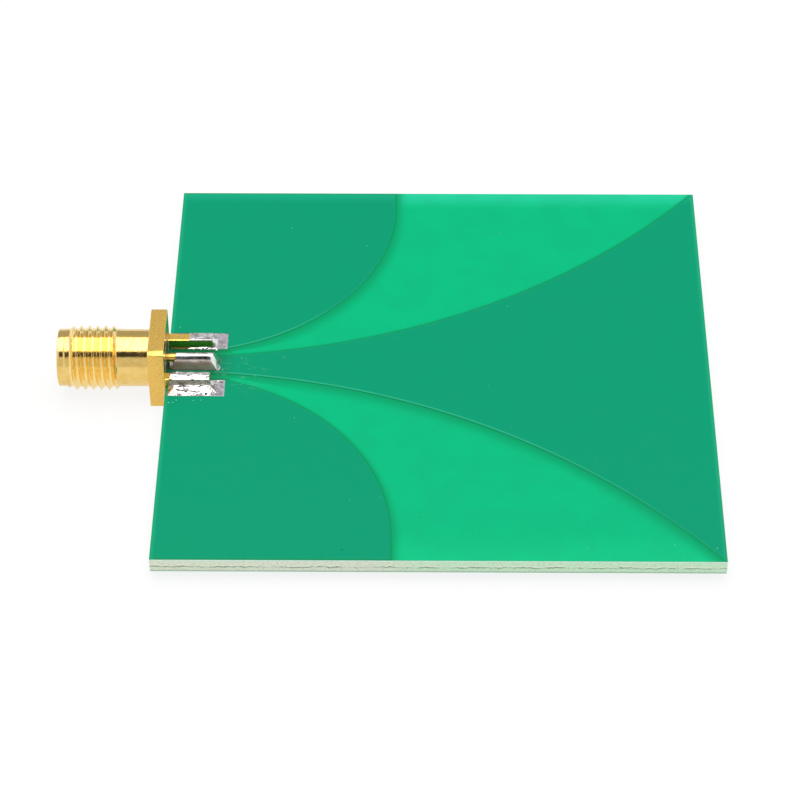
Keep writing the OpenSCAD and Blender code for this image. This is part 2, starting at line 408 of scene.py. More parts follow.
@dataclass(frozen=True)
class LaminateFinish(Finish):
    """Sawn glass-fibre laminate: pale layers with a broken green line in the middle, a painted highlight
    along the top and painted shade along the bottom.
    """

    pale: Colour = tone(236, 241, 222)
    lit_green: Colour = tone(200, 250, 210)
    fibre: Colour = tone(196, 202, 184)
    line: Colour = tone(116, 148, 114)
    streak: Colour = tone(244, 248, 230)
    # painted highlight colour along the top of the sawn edge
    rim: Colour = tone(222, 255, 244)
    # painted shade colour along the bottom of the sawn edge
    foot: Colour = tone(182, 188, 176)
    top_mm: float = -0.905
    bottom_mm: float = -2.335
    green_from_mm: float = 29.95
    wave_share: float = 0.5
    streak_at: float = 0.49
    line_at: float = 0.37
    specular: float = 0.3
    relief_mm: float = 0.02

    def paint(self, graph: NodeGraph, shader: bpy.types.Node, place: bpy.types.NodeSocket) -> None:
        """Add the laminate's nodes.

        Args:
            graph: The material's nodes.
            shader: The principled shader to feed.
            place: Object coordinates in millimetres.
        """
        axes = graph.add("ShaderNodeSeparateXYZ", {0: place}).outputs
        grain = graph.noise(graph.stretch(place, (1.0, 1.0, 2.0)), 4.0, 4.0, 0.65)
        wave = graph.noise(graph.stretch(place, (0.8, 0.8, 0.3)), 1.5, 5.0, 0.7)
        gaps = graph.noise(graph.stretch(place, (1.0, 1.0, 0.2)), 0.9, 3.0, 0.6)
        height = graph.math("SUBTRACT", axes[2], self.bottom_mm)
        layer = graph.math("DIVIDE", height, self.top_mm - self.bottom_mm)
        depth = graph.math("MULTIPLY_ADD", graph.math("SUBTRACT", wave, 0.5), self.wave_share, layer)
        lit = graph.ramp(axes[0], self.green_from_mm - 3.0, self.green_from_mm + 5.0, 0.1, 0.75)
        colour = graph.mix(lit, self.pale, self.lit_green)
        colour = graph.mix(graph.ramp(grain, 0.46, 0.66, 0.0, 0.75), colour, self.fibre)
        off_streak = graph.math("ABSOLUTE", graph.math("SUBTRACT", depth, self.streak_at))
        streak_breaks = graph.ramp(gaps, 0.40, 0.58, 0.1, 0.8)
        streak = graph.math("MULTIPLY", graph.ramp(off_streak, 0.09, 0.02), streak_breaks)
        colour = graph.mix(streak, colour, self.streak)
        off_line = graph.math("ABSOLUTE", graph.math("SUBTRACT", depth, self.line_at))
        line_breaks = graph.ramp(gaps, 0.38, 0.58, 0.15, 0.95)
        stroke = graph.math("MULTIPLY", graph.ramp(off_line, 0.08, 0.01), line_breaks)
        colour = graph.mix(stroke, colour, self.line)
        # painted shade: darker grey towards the bottom of the sawn edge
        colour = graph.mix(graph.ramp(layer, 0.12, 0.02, 0.0, 0.7), colour, self.foot)
        # painted highlight: a bright pale line along the top of the sawn edge
        colour = graph.mix(graph.ramp(layer, 0.88, 0.95), colour, self.rim)
        self.wire(graph, shader, Base_Color=colour, Roughness=graph.ramp(grain, 0.3, 0.7, 0.55, 0.85),
                  Normal=self.bump(graph, grain, self.relief_mm))
        shader.inputs["Specular IOR Level"].default_value = self.specular


@dataclass(frozen=True)
class GoldFinish(Finish):
    """Gold plating over brass: smooth where it is turned or threaded, finely pitted where it is milled."""

    turned: Colour = tone(238, 205, 126)
    turned_worn: Colour = tone(226, 184, 96)
    milled: Colour = tone(236, 196, 102)
    milled_worn: Colour = tone(204, 156, 78)
    # paler gold for the threads, a painted stand-in for their brighter highlights
    threaded: Colour = tone(250, 220, 146)
    threaded_worn: Colour = tone(244, 208, 124)
    milled_from_mm: float = 6.8
    thread_from_mm: float = -0.75
    thread_to_mm: float = 3.75
    gloss: tuple[float, float] = (0.12, 0.19)
    satin: tuple[float, float] = (0.20, 0.30)
    relief_mm: float = 0.004

    def paint(self, graph: NodeGraph, shader: bpy.types.Node, place: bpy.types.NodeSocket) -> None:
        """Add the plating's nodes.

        Args:
            graph: The material's nodes.
            shader: The principled shader to feed.
            place: Object coordinates in millimetres.
        """
        along = graph.add("ShaderNodeSeparateXYZ", {0: place}).outputs[0]
        is_milled = graph.math("GREATER_THAN", along, self.milled_from_mm)
        pits = graph.noise(place, 7.0, 3.0, 0.6)
        smear = graph.noise(place, 1.3, 3.0)
        turning = graph.noise(graph.stretch(place, (14.0, 0.6, 0.6)), 1.0, 2.0)
        wear = graph.ramp(smear, 0.35, 0.7, 0.0, 0.6)
        smooth = graph.mix(wear, self.turned, self.turned_worn)
        # painted highlight: the threaded zone takes a paler gold than the turned body; wear varies it at
        # random
        cut = graph.mix(wear, self.threaded, self.threaded_worn)
        is_cut = graph.math("MULTIPLY", graph.math("GREATER_THAN", along, self.thread_from_mm),
                            graph.math("LESS_THAN", along, self.thread_to_mm))
        smooth = graph.mix(is_cut, smooth, cut)
        pitted = graph.mix(graph.ramp(pits, 0.40, 0.66, 0.0, 0.55), self.milled, self.milled_worn)
        relief = graph.math("MULTIPLY_ADD", turning, 0.25, graph.math("MULTIPLY", pits, 0.75))
        gloss = graph.ramp(smear, 0.35, 0.7, *self.gloss)
        satin = graph.ramp(pits, 0.35, 0.7, *self.satin)
        roughness = graph.add("ShaderNodeMix", {0: is_milled, 2: gloss, 3: satin}).outputs[0]
        self.wire(graph, shader, Base_Color=graph.mix(is_milled, smooth, pitted), Roughness=roughness,
                  Normal=self.bump(graph, relief, self.relief_mm))
        shader.inputs["Metallic"].default_value = 1.0


@dataclass(frozen=True)
class MetalFinish(Finish):
    """A white metal: flat grey tin, or solder that is bright on top, with flux crust and painted shade on
    its steep sides that face along y.
    """

    base: Colour = tone(236, 235, 236)
    dull: Colour = tone(152, 134, 120)
    # flux crust and painted shade colour for the steep sides
    flux: Colour = tone(184, 162, 148)
    smooth: float = 0.10
    rough: float = 0.20
    grain_per_mm: float = 1.8
    film_per_mm: float = 1.1
    relief_mm: float = 0.004
    spot: Colour = tone(96, 86, 78)
    spot_share: float = 0.0
    crust_metal: float = 0.25
    spot_metal: float = 0.15

    def paint(self, graph: NodeGraph, shader: bpy.types.Node, place: bpy.types.NodeSocket) -> None:
        """Add the metal's nodes.

        Args:
            graph: The material's nodes.
            shader: The principled shader to feed.
            place: Object coordinates in millimetres.
        """
        grain = graph.noise(place, self.grain_per_mm, 3.0, 0.5)
        film = graph.noise(place, self.film_per_mm, 3.0)
        colour = graph.mix(graph.ramp(film, 0.45, 0.7, 0.0, 0.8), self.base, self.dull)
        # flux crust with painted shade: brown-grey, less metallic, on steep faces turned along y
        steep = graph.add("ShaderNodeAttribute", attribute_name=STEEP).outputs["Fac"]
        flux_shade_mask = graph.math("MULTIPLY", steep, graph.ramp(film, 0.3, 0.6, 0.55, 0.9))
        colour = graph.mix(flux_shade_mask, colour, self.flux)
        metal = graph.ramp(flux_shade_mask, 0.0, 1.0, 1.0, self.crust_metal)
        if self.spot_share > 0.0:
            blots = graph.noise(graph.stretch(place, (0.7, 1.3, 1.0)), 2.6, 4.0, 0.6)
            spots = graph.ramp(blots, 0.52, 0.62, 0.0, self.spot_share)
            colour = graph.mix(spots, colour, self.spot)
            metal = graph.math("MULTIPLY", metal, graph.ramp(spots, 0.0, 1.0, 1.0, self.spot_metal))
        self.wire(graph, shader, Base_Color=colour, Metallic=metal,
                  Roughness=graph.ramp(grain, 0.35, 0.65, self.smooth, self.rough),
                  Normal=self.bump(graph, grain, self.relief_mm))


@dataclass(frozen=True)
class PlainFinish(Finish):
    """A matt solid with a little cloud and grain: foil, dust or dirt."""

    base: Colour = tone(236, 236, 230)
    cloud: Colour = tone(214, 214, 206)
    metal: float = 0.0
    roughness: float = 0.45
    spread: float = 0.08
    relief_mm: float = 0.004

    def paint(self, graph: NodeGraph, shader: bpy.types.Node, place: bpy.types.NodeSocket) -> None:
        """Add the solid's nodes.

        Args:
            graph: The material's nodes.
            shader: The principled shader to feed.
            place: Object coordinates in millimetres.
        """
        cloud = graph.noise(place, 1.8, 4.0)
        colour = graph.mix(graph.ramp(cloud, 0.35, 0.7), self.base, self.cloud)
        limits = (self.roughness - self.spread, self.roughness + self.spread)
        self.wire(graph, shader, Base_Color=colour, Roughness=graph.ramp(cloud, 0.3, 0.7, *limits),
                  Normal=self.bump(graph, graph.noise(place, 12.0), self.relief_mm))
        shader.inputs["Metallic"].default_value = self.metal


@dataclass(frozen=True)
class InsulatorFinish(Finish):
    """White fluoropolymer, darkened on its rear face inside a clean rim by baked flux and painted shade."""

    base: Colour = tone(238, 238, 232)
    # flux stain and painted shade colour for the rear face
    flux: Colour = tone(70, 66, 40)
    rear_mm: float = 8.25
    rim_mm: float = 1.86
    relief_mm: float = 0.004

    def paint(self, graph: NodeGraph, shader: bpy.types.Node, place: bpy.types.NodeSocket) -> None:
        """Add the insulator's nodes.

        Args:
            graph: The material's nodes.
            shader: The principled shader to feed.
            place: Object coordinates in millimetres.
        """
        along = graph.add("ShaderNodeSeparateXYZ", {0: place}).outputs[0]
        across = graph.stretch(place, (0.0, 1.0, 1.0))
        radius = graph.add("ShaderNodeVectorMath", {0: across}, operation="LENGTH").outputs["Value"]
        edge = graph.math("MULTIPLY_ADD", graph.noise(place, 1.6), 0.12, radius)
        inside = graph.ramp(edge, self.rim_mm + 0.09, self.rim_mm + 0.03)
        # flux stain with painted shade: rear face darkened inside the rim
        stain_and_shade = graph.math("MULTIPLY", graph.math("GREATER_THAN", along, self.rear_mm), inside)
        colour = graph.mix(graph.math("MULTIPLY", stain_and_shade, 0.95), self.base, self.flux)
        self.wire(graph, shader, Base_Color=colour, Roughness=graph.ramp(stain_and_shade, 0.0, 1.0, 0.45, 0.3),
                  Normal=self.bump(graph, graph.noise(place, 12.0), self.relief_mm))


LACQUER_TOP = LacquerFinish("lacquer_over_foil")
LACQUER_UNDER = LacquerFinish("lacquer_underside", foil_shows=False)
LAMINATE = LaminateFinish("sawn_laminate")
GOLD = GoldFinish("gold_plate")
TIN = MetalFinish("levelled_tin", base=tone(196, 190, 198), dull=tone(160, 155, 162),
                  smooth=0.20, rough=0.30, grain_per_mm=2.6, relief_mm=0.003)
SOLDER = MetalFinish("bright_solder")
SOLDER_WRINKLED = MetalFinish("wrinkled_solder", spot_share=0.9)
INSULATOR = InsulatorFinish("white_insulator")
COPPER = PlainFinish("copper_foil", base=tone(206, 142, 104), cloud=tone(176, 112, 80),
                     metal=1.0, roughness=0.38)
DUST = PlainFinish("pale_dust", base=tone(150, 222, 194), cloud=tone(104, 204, 166), roughness=0.8)
DIRT = PlainFinish("dark_dirt", base=tone(20, 70, 50), cloud=tone(34, 58, 46), roughness=0.8)


class Slot(Enum):
    """Material slots of the record."""

    LAMINATE = "laminate"
    COPPER = "copper"
    MASK = "solder_mask"
    TIN = "tin"
    SOLDER = "solder"
    GOLD = "gold"
    INSULATOR = "insulator"


class Side(Enum):
    """The two sides of the feed line."""

    FAR = 1.0
    NEAR = -1.0


def put_piece(name: str, mesh: bpy.types.Mesh, finish: Finish,
              nodes: Iterable[str]) -> None:
    """Make a finished mesh a piece of the object.

    Args:
        name: The piece's name.
        mesh: The mesh, in metres in the part's frame.
        finish: The finish for the whole piece.
        nodes: CAD nodes that the piece replaces.
    """
    piece = bpy.data.objects.new(name, mesh)
    bpy.context.scene.collection.objects.link(piece)
    mesh.materials.clear()
    mesh.materials.append(finish.material())
    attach(piece, "root")
    replaced = list(nodes)
    if replaced:
        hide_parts(*replaced)
    log.info("piece %s: %d faces", name, len(mesh.polygons))


def mesh_from(name: str, verts: np.ndarray, faces: Iterable[Sequence[int]]) -> bpy.types.Mesh:
    """Make a mesh from points in millimetres.

    Args:
        name: The mesh's name.
        verts: Points in millimetres, one to a row.
        faces: Vertex indices of each face.

    Returns:
        The mesh in metres.
    """
    mesh = bpy.data.meshes.new(name)
    mesh.from_pydata((np.asarray(verts, dtype=float) * MM).tolist(), [], [list(face) for face in faces])
    mesh.update()
    return mesh


class NodeRecipe:
    """A geometry node tree with named sizes, run once to a plain mesh."""

    def __init__(self, name: str, sizes: dict[str, float | int], finish: Finish) -> None:
        """Open the tree with its inputs.

        Args:
            name: The tree's name.
            sizes: Value of each named input.
            finish: The finish that the tree sets.
        """
        self.sizes = sizes
        self.finish = finish
        tree = bpy.data.node_groups.new(name, "GeometryNodeTree")
        self.graph = NodeGraph(tree)
        tree.interface.new_socket("Geometry", in_out="INPUT", socket_type="NodeSocketGeometry")
        tree.interface.new_socket("Geometry", in_out="OUTPUT", socket_type="NodeSocketGeometry")
        for label, value in sizes.items():
            kind = "NodeSocketInt" if isinstance(value, int) else "NodeSocketFloat"
            tree.interface.new_socket(label, in_out="INPUT", socket_type=kind)
        self.given = self.graph.add("NodeGroupInput").outputs

    def run(self, result: bpy.types.NodeSocket, base: bpy.types.Mesh) -> bpy.types.Mesh:
        """End the tree and evaluate it on a base mesh.

        Args:
            result: Geometry that the tree has made.
            base: Mesh that the modifier starts from.

        Returns:
            The evaluated mesh, with no modifier left.
        """
        graph = self.graph
        whole = graph.add("GeometryNodeRealizeInstances", {"Geometry": result}).outputs[0]
        dressed = graph.add("GeometryNodeSetMaterial", {
            "Geometry": whole, "Material": self.finish.material()})
        graph.add("NodeGroupOutput", {"Geometry": dressed.outputs[0]})
        holder = bpy.data.objects.new(graph.tree.name, base)
        bpy.context.scene.collection.objects.link(holder)
        modifier = holder.modifiers.new(graph.tree.name, "NODES")
        modifier.node_group = graph.tree
        for item in graph.tree.interface.items_tree:
            if item.in_out == "INPUT" and item.name in self.sizes:
                modifier[item.identifier] = self.sizes[item.name]
        ready = holder.evaluated_get(bpy.context.evaluated_depsgraph_get())
        mesh = bpy.data.meshes.new_from_object(ready)
        holder.modifiers.remove(modifier)
        bpy.data.objects.remove(holder)
        return mesh


@dataclass
class FoilPlan:
    """Plan of the foil and its windows, in millimetres from the middle of the jack's edge."""

    length: float
    width: float
    edge_pull: float
    pour_radius: float
    pad_inner: float
    pad_outer: float
    pad_length: float
    feed_pad_half: float
    feed_pad_length: float
    pour_inset: float = 2.75
    feed_half: float = 0.95
    flare_lead: float = 14.5
    flare_angle: float = 50.0
    flare_reach: float = 26.4
    curve_points: int = 120

    @classmethod
    def from_frame(cls) -> "FoilPlan":
        """Read the plan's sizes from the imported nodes.

        Returns:
            The plan.
        """
        low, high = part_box("laminate")
        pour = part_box("ground_copper_far")
        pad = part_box("pad_tin_far")
        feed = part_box("feed_tin")
        return cls(
            length=(high.x - low.x) / MM,
            width=(high.y - low.y) / MM,
            edge_pull=(high.y - pour[1].y) / MM,
            pour_radius=(pour[1].x - low.x) / MM,
            pad_inner=pad[0].y / MM,
            pad_outer=pad[1].y / MM,
            pad_length=(pad[1].x - low.x) / MM,
            feed_pad_half=feed[1].y / MM,
            feed_pad_length=(feed[1].x - low.x) / MM,
        )

    @property
    def pour_middle(self) -> float:
        """Distance of each pour's centre from the feed line."""
        return self.width / 2 - self.pour_inset

    def flare(self) -> np.ndarray:
        """Give the far edge of the radiator from the jack's edge to the far edge.

        Returns:
            Points along the edge.
        """
        lean = math.radians(self.flare_angle)
        end = np.array([self.length, self.width / 2])
        handles = np.array([
            [0.0, self.feed_half],
            [self.flare_lead, self.feed_half],
            end - self.flare_reach * np.array([math.cos(lean), math.sin(lean)]),
            end,
        ])
        t = np.linspace(0.0, 1.0, self.curve_points)[:, None]
        weights = ((1 - t) ** 3, 3 * t * (1 - t) ** 2, 3 * t ** 2 * (1 - t), t ** 3)
        return sum(weight * handle for weight, handle in zip(weights, handles))

    def radiator_outline(self) -> np.ndarray:
        """Give the radiator's closed outline, clear of the board's edges."""
        stop = self.length - self.edge_pull
        edge = self.flare()
        inside = edge[(edge[:, 0] > self.edge_pull) & (edge[:, 0] < stop)]
        ends = [[x, np.interp(x, edge[:, 0], edge[:, 1])] for x in (self.edge_pull, stop)]
        upper = np.vstack([ends[0], inside, ends[1]])
        return np.vstack([upper, (upper * (1, -1))[::-1]])

    def pour_outline(self, side: Side) -> np.ndarray:
        """Give one ground's closed outline.

        Args:
            side: Side of the feed line.

        Returns:
            Points of the outline.
        """
        reach = math.asin(self.pad_length / self.pour_radius)
        turns = np.linspace(reach, math.pi / 2, self.curve_points)
        rim = self.width / 2 - self.edge_pull
        arc = np.column_stack([self.pour_radius * np.sin(turns),
                               self.pour_middle - self.pour_radius * np.cos(turns)])
        start = [[self.edge_pull, self.pad_inner], [self.pad_length, self.pad_inner]]
        end = [[self.pour_radius, rim], [self.edge_pull, rim]]
        return np.vstack([start, arc, end]) * (1, side.value)

    def foil_edge(self, points: np.ndarray) -> np.ndarray:
        """Measure how far points lie inside the foil, with points on bare laminate negative.

        Args:
            points: Points in plan.

        Returns:
            Distance to the nearest foil edge in millimetres.
        """
        x = points[:, 0]
        y = np.abs(points[:, 1])
        edge = self.flare()
        half = np.interp(x, edge[:, 0], edge[:, 1])
        slope = np.interp(x, edge[:, 0], np.gradient(edge[:, 1], edge[:, 0]))
        within = np.minimum.reduce([x - self.edge_pull, self.length - self.edge_pull - x,
                                    self.width / 2 - self.edge_pull - y])
        radiator = np.minimum((half - y) / np.sqrt(1.0 + slope ** 2), within)
        round_edge = self.pour_radius - np.hypot(x, np.maximum(self.pour_middle - y, 0.0))
        pour = np.minimum.reduce([np.maximum(round_edge, self.pad_length - x), y - self.pad_inner, within])
        return np.maximum(radiator, pour)

    def foil_facing(self, points: np.ndarray, reach: float = 0.02) -> np.ndarray:
        """Tell which way the nearest foil edge faces.

        Args:
            points: Points in plan.
            reach: Half the span that the slope is taken over.

        Returns:
            One for an edge that faces the near side, minus one for the far side.
        """
        ahead = self.foil_edge(points + (0.0, reach))
        behind = self.foil_edge(points - (0.0, reach))
        return np.clip((ahead - behind) / (2.0 * reach), -1.0, 1.0)

    def windows(self) -> list[np.ndarray]:
        """Give the openings in the lacquer over the pads and the feed.

        Returns:
            One outline for each opening.
        """
        outlines = []
        start = self.edge_pull
        spans = [(-self.feed_pad_half, self.feed_pad_half, self.feed_pad_length)]
        for side in Side:
            spans.append((side.value * self.pad_inner, side.value * self.pad_outer, self.pad_length))
        for first, last, reach in spans:
            low, high = sorted((first, last))
            outlines.append(np.array([[start, low], [reach, low], [reach, high], [start, high]]))
        return outlines


def offset_loop(loop: np.ndarray, inward: float) -> np.ndarray:
    """Move a closed outline along its own normals.

    Args:
        loop: Points of the outline, in either direction.
        inward: Distance towards the inside; negative moves outwards.

    Returns:
        The moved points.
    """
    ahead = np.roll(loop, -1, axis=0) - loop
    ahead /= np.linalg.norm(ahead, axis=1)[:, None]
    area = np.sum(loop[:, 0] * np.roll(loop[:, 1], -1) - np.roll(loop[:, 0], -1) * loop[:, 1])
    normals = np.column_stack([-ahead[:, 1], ahead[:, 0]]) * np.sign(area)
    before = np.roll(normals, 1, axis=0)
    bisector = normals + before
    scale = 2.0 / np.maximum(np.sum(bisector * bisector, axis=1), 0.6)
    return loop + bisector * scale[:, None] * inward


@dataclass
class Board:
    """The laminate, its foil, its lacquer and what lies on it."""

    plan: FoilPlan = field(default_factory=FoilPlan.from_frame)
    lacquer_t: float = 0.05
    foil_t: float = 0.035
    contours: tuple[float, ...] = (0.3, 0.13, 0.05, -0.05, -0.2, -0.4, -0.7, -1.1, -1.6, -2.3)
    step_width: float = 0.1
    edge_limit: float = 3.0
    edge_step: float = 0.16
    edge_rows: int = 12
    saw_depth: float = 0.035
    saw_seed: int = 11
    dust_seed: int = 7
    dirt_seed: int = 3
    speck_radius: float = 0.05
    spot_scale: float = 1.3
    speck_clear: float = 0.9
    dust_count: int = 26
    dirt_count: int = 4
    dust_spots: tuple[tuple[float, float], ...] = (
        (0.9, 5.27), (5.36, -0.81), (0.44, -5.42), (0.83, -5.42), (1.15, -5.07), (2.76, -5.13),
        (3.48, -5.06), (7.08, 0.89), (51.16, -24.38), (47.35, -23.97), (48.22, -25.47))
    dirt_spots: tuple[tuple[float, float], ...] = ((17.28, -24.75), (17.38, -24.70))

    def __post_init__(self) -> None:
        """Read the board's place from the frame."""
        low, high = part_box("laminate")
        self.left = low.x / MM
        self.top = high.z / MM
        self.bottom = low.z / MM

    def build(self) -> None:
        """Build and dress every piece of the board."""
        put_piece("lacquer_top", self.lacquer_sheet(), LACQUER_TOP, ["mask_top"])
        put_piece("laminate_core", self.core(), LAMINATE, ["laminate"])
        dust = self.specks("dust", DUST, self.dust_count, self.dust_spots, self.dust_seed)
        put_piece("dust_specks", dust, DUST, [])
        dirt = self.specks("dirt", DIRT, self.dirt_count, self.dirt_spots, self.dirt_seed)
        put_piece("dirt_specks", dirt, DIRT, [])
        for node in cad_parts:
            if node.startswith("mask_bottom"):
                dress(node, LACQUER_UNDER)
            elif "tin" in node.split("_"):
                dress(node, TIN)
            elif "copper" in node.split("_"):
                dress(node, COPPER)

    def lacquer_sheet(self) -> bpy.types.Mesh:
        """Lay the lacquer over the foil, with its windows and the step at each foil edge.

        Returns:
            The closed sheet, with the foil edge's distance and facing on its vertices.
        """
        plan = self.plan
        outlines = [plan.radiator_outline()] + [plan.pour_outline(side) for side in Side]
        half = plan.width / 2
        rim = np.array([[0.0, -half], [plan.length, -half], [plan.length, half], [0.0, half]])
        areas = [rim] + plan.windows()
        points: list[np.ndarray] = []
        edges: list[tuple[int, int]] = []
        faces: list[list[int]] = []
        for loop in areas:
            start = len(points)
            points.extend(loop)
            faces.append(list(range(start, start + len(loop))))
        for outline in outlines:
            for inward in self.contours:
                loop = offset_loop(outline, inward)
                start = len(points)
                count = len(loop)
                points.extend(loop)
                edges.extend((start + k, start + (k + 1) % count) for k in range(count))
        flat, _, triangles, _, _, owners = geometry.delaunay_2d_cdt(
            [Vector(point) for point in points], edges, faces, 0, 1e-5)
        kept = [tri for tri, owner in zip(triangles, owners) if list(owner) == [0]]
        plane = np.array([tuple(point) for point in flat])
        used = sorted({index for tri in kept for index in tri})
        place = {old: new for new, old in enumerate(used)}
        kept = [[place[index] for index in tri] for tri in kept]
        plane = plane[used]
        inside = plan.foil_edge(plane)
        step = np.clip(inside / self.step_width + 0.5, 0.0, 1.0) * self.foil_t
        under = np.column_stack([plane[:, 0] + self.left, plane[:, 1], self.top + step])
        over = under + (0.0, 0.0, self.lacquer_t)
        count = len(plane)
        shell = [list(tri) for tri in kept]
        shell += [[index + count for index in reversed(tri)] for tri in kept]
        directed = {(tri[k], tri[(k + 1) % 3]) for tri in kept for k in range(3)}
        for a, b in directed:
            if (b, a) not in directed:
                shell.append([b, a, a + count, b + count])
        mesh = mesh_from("lacquer_top", np.vstack([over, under]), shell)
        edge = np.clip(inside, -self.edge_limit, self.edge_limit)
        for name, values in ((FOIL_EDGE, edge), (FOIL_FACING, plan.foil_facing(plane))):
            layer = mesh.attributes.new(name, "FLOAT", "POINT")
            layer.data.foreach_set("value", np.tile(values, 2).astype(np.float32))
        return mesh

    def core(self) -> bpy.types.Mesh:
        """Cut the laminate with sawn, slightly ragged edges.

        Returns:
            The closed core.
        """
        rng = np.random.default_rng(self.saw_seed)
        plan = self.plan
        half = plan.width / 2
        corners = [(0.0, -half), (plan.length, -half), (plan.length, half), (0.0, half)]
        ring, inward = [], []
        for k, corner in enumerate(corners):
            following = corners[(k + 1) % 4]
            span = math.hypot(following[0] - corner[0], following[1] - corner[1])
            count = int(round(span / self.edge_step))
            along = np.subtract(following, corner) / span
            for n in range(count):
                ring.append(np.add(corner, along * span * n / count))
                inward.append((0.0, 0.0) if n == 0 else (-along[1], along[0]))
        ring, inward = np.array(ring), np.array(inward)
        total = len(ring)
        rows = []
        for level in range(self.edge_rows + 1):
            share = level / self.edge_rows
            rough = rng.random(total)
            rough = (rough + np.roll(rough, 1) + np.roll(rough, -1)) / 3.0
            depth = rough * self.saw_depth if 0 < level < self.edge_rows else np.zeros(total)
            moved = ring + inward * depth[:, None]
            height = self.bottom + share * (self.top - self.bottom)
            rows.append(np.column_stack([moved[:, 0] + self.left, moved[:, 1], np.full(total, height)]))
        middle = self.left + plan.length / 2
        verts = np.vstack(rows + [[[middle, 0.0, self.bottom], [middle, 0.0, self.top]]])
        faces = []
        for k in range(total):
            following = (k + 1) % total
            for level in range(self.edge_rows):
                low, high = level * total, (level + 1) * total
                faces.append([low + k, low + following, high + following, high + k])
            faces.append([len(verts) - 2, following, k])
            last = self.edge_rows * total
            faces.append([len(verts) - 1, last + k, last + following])
        return mesh_from("laminate_core", verts, faces)

    def specks(self, name: str, finish: Finish, count: int, spots: Sequence[tuple[float, float]],
               seed: int) -> bpy.types.Mesh:
        """Lay specks on the lacquer: some at marked spots, the rest scattered.

        Args:
            name: Name of the node tree.
            finish: The specks' finish.
            count: About how many are scattered.
            spots: Marked spots in plan.
            seed: Seed of the scatter.

        Returns:
            The specks as one mesh.
        """
        plan = self.plan
        low, high = plan.pad_length + self.speck_clear, plan.length - self.speck_clear
        side = plan.width / 2 - self.speck_clear
        corners = [(low, -side), (high, -side), (high, side), (low, side)]
        flat = np.array(corners + list(spots))
        lift = np.maximum(plan.foil_edge(flat), 0.0) > 0.0
        height = self.top + self.lacquer_t + lift * self.foil_t
        verts = np.column_stack([flat[:, 0] + self.left, flat[:, 1], height])
        base = mesh_from(name, verts, [[0, 1, 2, 3]])
        area = (high - low) * 2 * side * MM * MM
        recipe = NodeRecipe(name, {
            "Density": count / area, "Radius": self.speck_radius * MM, "Spot Scale": self.spot_scale,
            "Corners": len(corners), "Seed": seed}, finish)
        graph, given = recipe.graph, recipe.given
        scattered = graph.add("GeometryNodeDistributePointsOnFaces", {
            "Mesh": given["Geometry"], "Density": given["Density"], "Seed": given["Seed"]})
        index = graph.add("GeometryNodeInputIndex").outputs[0]
        is_spot = graph.add("FunctionNodeCompare", {2: index, 3: given["Corners"]},
                            data_type="INT", operation="GREATER_EQUAL")
        marked = graph.add("GeometryNodeMeshToPoints", {
            "Mesh": given["Geometry"], "Selection": is_spot.outputs[0]})
        grain = graph.add("GeometryNodeMeshIcoSphere", {"Radius": given["Radius"], "Subdivisions": 2})
        least, most = (0.5, 0.5, 0.5), (1.4, 1.0, 0.7)
        scale = graph.add("FunctionNodeRandomValue", {0: least, 1: most, "Seed": given["Seed"]},
                          data_type="FLOAT_VECTOR").outputs[0]
        turn = graph.add("FunctionNodeRandomValue", {1: (0.3, 0.3, TURN), "Seed": given["Seed"]},
                         data_type="FLOAT_VECTOR").outputs[0]
        larger = graph.add("ShaderNodeVectorMath", {0: scale, "Scale": given["Spot Scale"]},
                           operation="SCALE")
        laid = []
        for points, size in ((scattered.outputs["Points"], scale), (marked.outputs[0], larger.outputs[0])):
            placed = graph.add("GeometryNodeInstanceOnPoints", {
                "Points": points, "Instance": grain.outputs["Mesh"], "Rotation": turn, "Scale": size})
            laid.append(placed.outputs[0])
        joined = graph.add("GeometryNodeJoinGeometry", {0: laid[0]})
        graph.tree.links.new(laid[1], joined.inputs[0])
        return recipe.run(joined.outputs[0], base)


def dress(node: str, finish: Finish) -> None:
    """Give a CAD node that stays its finish.

    Args:
        node: The node's name.
        finish: The finish.
    """
    shown = bpy.data.objects[node]
    material = finish.material()
    if not shown.material_slots:
        shown.data.materials.append(material)
    for held in shown.material_slots:
        held.material = material
    log.info("dressed %s", node)


